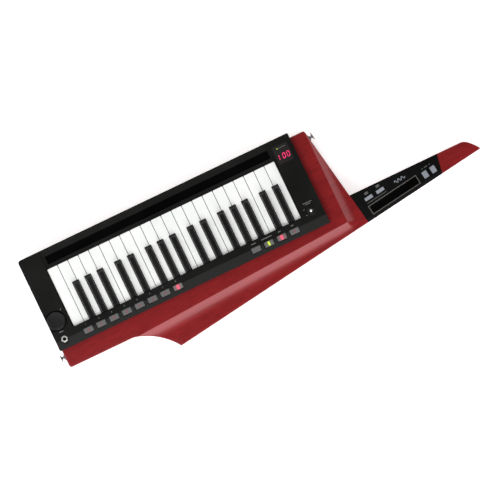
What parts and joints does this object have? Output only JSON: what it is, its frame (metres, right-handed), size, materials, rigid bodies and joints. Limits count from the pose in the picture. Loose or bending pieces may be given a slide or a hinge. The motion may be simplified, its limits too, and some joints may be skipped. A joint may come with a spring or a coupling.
{
  "type": "keytar",
  "caption": "Shoulder-worn keyboard synthesizer: wooden body and slim neck, small keys, touch ribbons, display, buttons, dial and strap pins.",
  "frame": {"origin": "under the middle of the whole outline, on the plane of the back face", "axes": "+X along the keyboard to the neck's tip, +Y from the lower edge to the long ribbon's edge, +Z out of the front face"},
  "size_m": [0.83, 0.259, 0.06],
  "materials": {
    "wood_lacquer": "dark straight grain under clear red gloss lacquer",
    "panel_plastic": "black, fine matte texture",
    "neck_plastic": "black, satin",
    "inner_plastic": "dark grey, plain",
    "back_plastic": "black, fine texture",
    "ribbon_film": "black touch film in a thin frame",
    "display_smoke": "smoked clear window over lit digits",
    "plated_steel": "bright plating",
    "screw_steel": "blackened",
    "button_grey": "grey with a lit window",
    "button_silver": "light grey",
    "dial_plastic": "black, turned top",
    "switch_plastic": "black, ribbed",
    "connector_plastic": "black",
    "battery_jacket": "printed-free grey jacket, steel ends",
    "board": "green solder mask",
    "key_white": "polished",
    "key_black": "satin"
  },
  "bodies": {
    "instrument": {"wood_body": "wood_lacquer", "front_panel": "panel_plastic", "key_frame": "inner_plastic", "long_ribbon": "ribbon_film", "display_module": "display_smoke", "toggle_switch": "plated_steel", "output_jack": "plated_steel", "strap_pins": "plated_steel", "neck_cover": "neck_plastic", "short_ribbon": "ribbon_film", "back_cover": "back_plastic", "battery_cells": "battery_jacket", "connector_plate": "connector_plastic", "circuit_boards": "board", "case_screws": "screw_steel"},
    "white_key_c3": {"white_key_c3": "key_white"},
    "black_key_cs3": {"black_key_cs3": "key_black"},
    "white_key_d3": {"white_key_d3": "key_white"},
    "black_key_ds3": {"black_key_ds3": "key_black"},
    "white_key_e3": {"white_key_e3": "key_white"},
    "white_key_f3": {"white_key_f3": "key_white"},
    "black_key_fs3": {"black_key_fs3": "key_black"},
    "white_key_g3": {"white_key_g3": "key_white"},
    "black_key_gs3": {"black_key_gs3": "key_black"},
    "white_key_a3": {"white_key_a3": "key_white"},
    "black_key_as3": {"black_key_as3": "key_black"},
    "white_key_b3": {"white_key_b3": "key_white"},
    "white_key_c4": {"white_key_c4": "key_white"},
    "black_key_cs4": {"black_key_cs4": "key_black"},
    "white_key_d4": {"white_key_d4": "key_white"},
    "black_key_ds4": {"black_key_ds4": "key_black"},
    "white_key_e4": {"white_key_e4": "key_white"},
    "white_key_f4": {"white_key_f4": "key_white"},
    "black_key_fs4": {"black_key_fs4": "key_black"},
    "white_key_g4": {"white_key_g4": "key_white"},
    "black_key_gs4": {"black_key_gs4": "key_black"},
    "white_key_a4": {"white_key_a4": "key_white"},
    "black_key_as4": {"black_key_as4": "key_black"},
    "white_key_b4": {"white_key_b4": "key_white"},
    "white_key_c5": {"white_key_c5": "key_white"},
    "black_key_cs5": {"black_key_cs5": "key_black"},
    "white_key_d5": {"white_key_d5": "key_white"},
    "black_key_ds5": {"black_key_ds5": "key_black"},
    "white_key_e5": {"white_key_e5": "key_white"},
    "white_key_f5": {"white_key_f5": "key_white"},
    "black_key_fs5": {"black_key_fs5": "key_black"},
    "white_key_g5": {"white_key_g5": "key_white"},
    "black_key_gs5": {"black_key_gs5": "key_black"},
    "white_key_a5": {"white_key_a5": "key_white"},
    "black_key_as5": {"black_key_as5": "key_black"},
    "white_key_b5": {"white_key_b5": "key_white"},
    "white_key_c6": {"white_key_c6": "key_white"},
    "memory_buttons": {"memory_buttons": "button_grey"},
    "function_buttons": {"function_buttons": "button_grey"},
    "value_dial": {"value_dial": "dial_plastic"},
    "toggle_lever": {"toggle_lever": "plated_steel"},
    "ribbon_mode_buttons": {"ribbon_mode_buttons": "button_silver"},
    "octave_buttons": {"octave_buttons": "button_silver"},
    "battery_door": {"battery_door": "back_plastic"},
    "power_switch": {"power_switch": "switch_plastic"}
  },
  "joints": [
    {"name": "white_key_c3_press", "type": "hinge", "parent": "instrument", "child": "white_key_c3", "pos_m": [0.06618, -0.024, 0.036], "axis": [-1, 0, 0], "range_deg": [0, 3.4], "stiffness_Nm_per_rad": 0.275, "springref_deg": -11.46},
    {"name": "black_key_cs3_press", "type": "hinge", "parent": "instrument", "child": "black_key_cs3", "pos_m": [0.05846, -0.024, 0.036], "axis": [-1, 0, 0], "range_deg": [0, 3.4], "stiffness_Nm_per_rad": 0.2, "springref_deg": -11.46},
    {"name": "white_key_d3_press", "type": "hinge", "parent": "instrument", "child": "white_key_d3", "pos_m": [0.04594, -0.024, 0.036], "axis": [-1, 0, 0], "range_deg": [0, 3.4], "stiffness_Nm_per_rad": 0.275, "springref_deg": -11.46},
    {"name": "black_key_ds3_press", "type": "hinge", "parent": "instrument", "child": "black_key_ds3", "pos_m": [0.03342, -0.024, 0.036], "axis": [-1, 0, 0], "range_deg": [0, 3.4], "stiffness_Nm_per_rad": 0.2, "springref_deg": -11.46},
    {"name": "white_key_e3_press", "type": "hinge", "parent": "instrument", "child": "white_key_e3", "pos_m": [0.0257, -0.024, 0.036], "axis": [-1, 0, 0], "range_deg": [0, 3.4], "stiffness_Nm_per_rad": 0.275, "springref_deg": -11.46},
    {"name": "white_key_f3_press", "type": "hinge", "parent": "instrument", "child": "white_key_f3", "pos_m": [0.00546, -0.024, 0.036], "axis": [-1, 0, 0], "range_deg": [0, 3.4], "stiffness_Nm_per_rad": 0.275, "springref_deg": -11.46},
    {"name": "black_key_fs3_press", "type": "hinge", "parent": "instrument", "child": "black_key_fs3", "pos_m": [-0.00116, -0.024, 0.036], "axis": [-1, 0, 0], "range_deg": [0, 3.4], "stiffness_Nm_per_rad": 0.2, "springref_deg": -11.46},
    {"name": "white_key_g3_press", "type": "hinge", "parent": "instrument", "child": "white_key_g3", "pos_m": [-0.01478, -0.024, 0.036], "axis": [-1, 0, 0], "range_deg": [0, 3.4], "stiffness_Nm_per_rad": 0.275, "springref_deg": -11.46},
    {"name": "black_key_gs3_press", "type": "hinge", "parent": "instrument", "child": "black_key_gs3", "pos_m": [-0.0249, -0.024, 0.036], "axis": [-1, 0, 0], "range_deg": [0, 3.4], "stiffness_Nm_per_rad": 0.2, "springref_deg": -11.46},
    {"name": "white_key_a3_press", "type": "hinge", "parent": "instrument", "child": "white_key_a3", "pos_m": [-0.03502, -0.024, 0.036], "axis": [-1, 0, 0], "range_deg": [0, 3.4], "stiffness_Nm_per_rad": 0.275, "springref_deg": -11.46},
    {"name": "black_key_as3_press", "type": "hinge", "parent": "instrument", "child": "black_key_as3", "pos_m": [-0.04864, -0.024, 0.036], "axis": [-1, 0, 0], "range_deg": [0, 3.4], "stiffness_Nm_per_rad": 0.2, "springref_deg": -11.46},
    {"name": "white_key_b3_press", "type": "hinge", "parent": "instrument", "child": "white_key_b3", "pos_m": [-0.05526, -0.024, 0.036], "axis": [-1, 0, 0], "range_deg": [0, 3.4], "stiffness_Nm_per_rad": 0.275, "springref_deg": -11.46},
    {"name": "white_key_c4_press", "type": "hinge", "parent": "instrument", "child": "white_key_c4", "pos_m": [-0.0755, -0.024, 0.036], "axis": [-1, 0, 0], "range_deg": [0, 3.4], "stiffness_Nm_per_rad": 0.275, "springref_deg": -11.46},
    {"name": "black_key_cs4_press", "type": "hinge", "parent": "instrument", "child": "black_key_cs4", "pos_m": [-0.08322, -0.024, 0.036], "axis": [-1, 0, 0], "range_deg": [0, 3.4], "stiffness_Nm_per_rad": 0.2, "springref_deg": -11.46},
    {"name": "white_key_d4_press", "type": "hinge", "parent": "instrument", "child": "white_key_d4", "pos_m": [-0.09574, -0.024, 0.036], "axis": [-1, 0, 0], "range_deg": [0, 3.4], "stiffness_Nm_per_rad": 0.275, "springref_deg": -11.46},
    {"name": "black_key_ds4_press", "type": "hinge", "parent": "instrument", "child": "black_key_ds4", "pos_m": [-0.10826, -0.024, 0.036], "axis": [-1, 0, 0], "range_deg": [0, 3.4], "stiffness_Nm_per_rad": 0.2, "springref_deg": -11.46},
    {"name": "white_key_e4_press", "type": "hinge", "parent": "instrument", "child": "white_key_e4", "pos_m": [-0.11598, -0.024, 0.036], "axis": [-1, 0, 0], "range_deg": [0, 3.4], "stiffness_Nm_per_rad": 0.275, "springref_deg": -11.46},
    {"name": "white_key_f4_press", "type": "hinge", "parent": "instrument", "child": "white_key_f4", "pos_m": [-0.13622, -0.024, 0.036], "axis": [-1, 0, 0], "range_deg": [0, 3.4], "stiffness_Nm_per_rad": 0.275, "springref_deg": -11.46},
    {"name": "black_key_fs4_press", "type": "hinge", "parent": "instrument", "child": "black_key_fs4", "pos_m": [-0.14284, -0.024, 0.036], "axis": [-1, 0, 0], "range_deg": [0, 3.4], "stiffness_Nm_per_rad": 0.2, "springref_deg": -11.46},
    {"name": "white_key_g4_press", "type": "hinge", "parent": "instrument", "child": "white_key_g4", "pos_m": [-0.15646, -0.024, 0.036], "axis": [-1, 0, 0], "range_deg": [0, 3.4], "stiffness_Nm_per_rad": 0.275, "springref_deg": -11.46},
    {"name": "black_key_gs4_press", "type": "hinge", "parent": "instrument", "child": "black_key_gs4", "pos_m": [-0.16658, -0.024, 0.036], "axis": [-1, 0, 0], "range_deg": [0, 3.4], "stiffness_Nm_per_rad": 0.2, "springref_deg": -11.46},
    {"name": "white_key_a4_press", "type": "hinge", "parent": "instrument", "child": "white_key_a4", "pos_m": [-0.1767, -0.024, 0.036], "axis": [-1, 0, 0], "range_deg": [0, 3.4], "stiffness_Nm_per_rad": 0.275, "springref_deg": -11.46},
    {"name": "black_key_as4_press", "type": "hinge", "parent": "instrument", "child": "black_key_as4", "pos_m": [-0.19032, -0.024, 0.036], "axis": [-1, 0, 0], "range_deg": [0, 3.4], "stiffness_Nm_per_rad": 0.2, "springref_deg": -11.46},
    {"name": "white_key_b4_press", "type": "hinge", "parent": "instrument", "child": "white_key_b4", "pos_m": [-0.19694, -0.024, 0.036], "axis": [-1, 0, 0], "range_deg": [0, 3.4], "stiffness_Nm_per_rad": 0.275, "springref_deg": -11.46},
    {"name": "white_key_c5_press", "type": "hinge", "parent": "instrument", "child": "white_key_c5", "pos_m": [-0.21718, -0.024, 0.036], "axis": [-1, 0, 0], "range_deg": [0, 3.4], "stiffness_Nm_per_rad": 0.275, "springref_deg": -11.46},
    {"name": "black_key_cs5_press", "type": "hinge", "parent": "instrument", "child": "black_key_cs5", "pos_m": [-0.2249, -0.024, 0.036], "axis": [-1, 0, 0], "range_deg": [0, 3.4], "stiffness_Nm_per_rad": 0.2, "springref_deg": -11.46},
    {"name": "white_key_d5_press", "type": "hinge", "parent": "instrument", "child": "white_key_d5", "pos_m": [-0.23742, -0.024, 0.036], "axis": [-1, 0, 0], "range_deg": [0, 3.4], "stiffness_Nm_per_rad": 0.275, "springref_deg": -11.46},
    {"name": "black_key_ds5_press", "type": "hinge", "parent": "instrument", "child": "black_key_ds5", "pos_m": [-0.24994, -0.024, 0.036], "axis": [-1, 0, 0], "range_deg": [0, 3.4], "stiffness_Nm_per_rad": 0.2, "springref_deg": -11.46},
    {"name": "white_key_e5_press", "type": "hinge", "parent": "instrument", "child": "white_key_e5", "pos_m": [-0.25766, -0.024, 0.036], "axis": [-1, 0, 0], "range_deg": [0, 3.4], "stiffness_Nm_per_rad": 0.275, "springref_deg": -11.46},
    {"name": "white_key_f5_press", "type": "hinge", "parent": "instrument", "child": "white_key_f5", "pos_m": [-0.2779, -0.024, 0.036], "axis": [-1, 0, 0], "range_deg": [0, 3.4], "stiffness_Nm_per_rad": 0.275, "springref_deg": -11.46},
    {"name": "black_key_fs5_press", "type": "hinge", "parent": "instrument", "child": "black_key_fs5", "pos_m": [-0.28452, -0.024, 0.036], "axis": [-1, 0, 0], "range_deg": [0, 3.4], "stiffness_Nm_per_rad": 0.2, "springref_deg": -11.46},
    {"name": "white_key_g5_press", "type": "hinge", "parent": "instrument", "child": "white_key_g5", "pos_m": [-0.29814, -0.024, 0.036], "axis": [-1, 0, 0], "range_deg": [0, 3.4], "stiffness_Nm_per_rad": 0.275, "springref_deg": -11.46},
    {"name": "black_key_gs5_press", "type": "hinge", "parent": "instrument", "child": "black_key_gs5", "pos_m": [-0.30826, -0.024, 0.036], "axis": [-1, 0, 0], "range_deg": [0, 3.4], "stiffness_Nm_per_rad": 0.2, "springref_deg": -11.46},
    {"name": "white_key_a5_press", "type": "hinge", "parent": "instrument", "child": "white_key_a5", "pos_m": [-0.31838, -0.024, 0.036], "axis": [-1, 0, 0], "range_deg": [0, 3.4], "stiffness_Nm_per_rad": 0.275, "springref_deg": -11.46},
    {"name": "black_key_as5_press", "type": "hinge", "parent": "instrument", "child": "black_key_as5", "pos_m": [-0.332, -0.024, 0.036], "axis": [-1, 0, 0], "range_deg": [0, 3.4], "stiffness_Nm_per_rad": 0.2, "springref_deg": -11.46},
    {"name": "white_key_b5_press", "type": "hinge", "parent": "instrument", "child": "white_key_b5", "pos_m": [-0.33862, -0.024, 0.036], "axis": [-1, 0, 0], "range_deg": [0, 3.4], "stiffness_Nm_per_rad": 0.275, "springref_deg": -11.46},
    {"name": "white_key_c6_press", "type": "hinge", "parent": "instrument", "child": "white_key_c6", "pos_m": [-0.35886, -0.024, 0.036], "axis": [-1, 0, 0], "range_deg": [0, 3.4], "stiffness_Nm_per_rad": 0.275, "springref_deg": -11.46},
    {"name": "memory_buttons_press", "type": "slide", "parent": "instrument", "child": "memory_buttons", "axis": [0, 0, -1], "range_m": [0, 0.0007], "stiffness_N_per_m": 1500, "springref_m": -0.0007},
    {"name": "function_buttons_press", "type": "slide", "parent": "instrument", "child": "function_buttons", "axis": [0, 0, -1], "range_m": [0, 0.0007], "stiffness_N_per_m": 1500, "springref_m": -0.0007},
    {"name": "ribbon_mode_buttons_press", "type": "slide", "parent": "instrument", "child": "ribbon_mode_buttons", "axis": [0, 0, -1], "range_m": [0, 0.0007], "stiffness_N_per_m": 1500, "springref_m": -0.0007},
    {"name": "octave_buttons_press", "type": "slide", "parent": "instrument", "child": "octave_buttons", "axis": [0, 0, -1], "range_m": [0, 0.0007], "stiffness_N_per_m": 1500, "springref_m": -0.0007},
    {"name": "value_dial_turn", "type": "hinge", "parent": "instrument", "child": "value_dial", "pos_m": [-0.393, 0.0055, 0.045], "axis": [0, 0, 1], "continuous": true},
    {"name": "toggle_lever_tilt", "type": "hinge", "parent": "instrument", "child": "toggle_lever", "pos_m": [0.0975, -0.0125, 0.049], "axis": [1, 0, 0], "range_deg": [-12, 12]},
    {"name": "battery_door_hinge", "type": "hinge", "parent": "instrument", "child": "battery_door", "pos_m": [-0.0075, 0.0193, 0.0012], "axis": [-1, 0, 0], "range_deg": [0, 90]},
    {"name": "power_switch_slide", "type": "slide", "parent": "instrument", "child": "power_switch", "axis": [0, 1, 0], "range_m": [0, 0.004]}
  ]
}
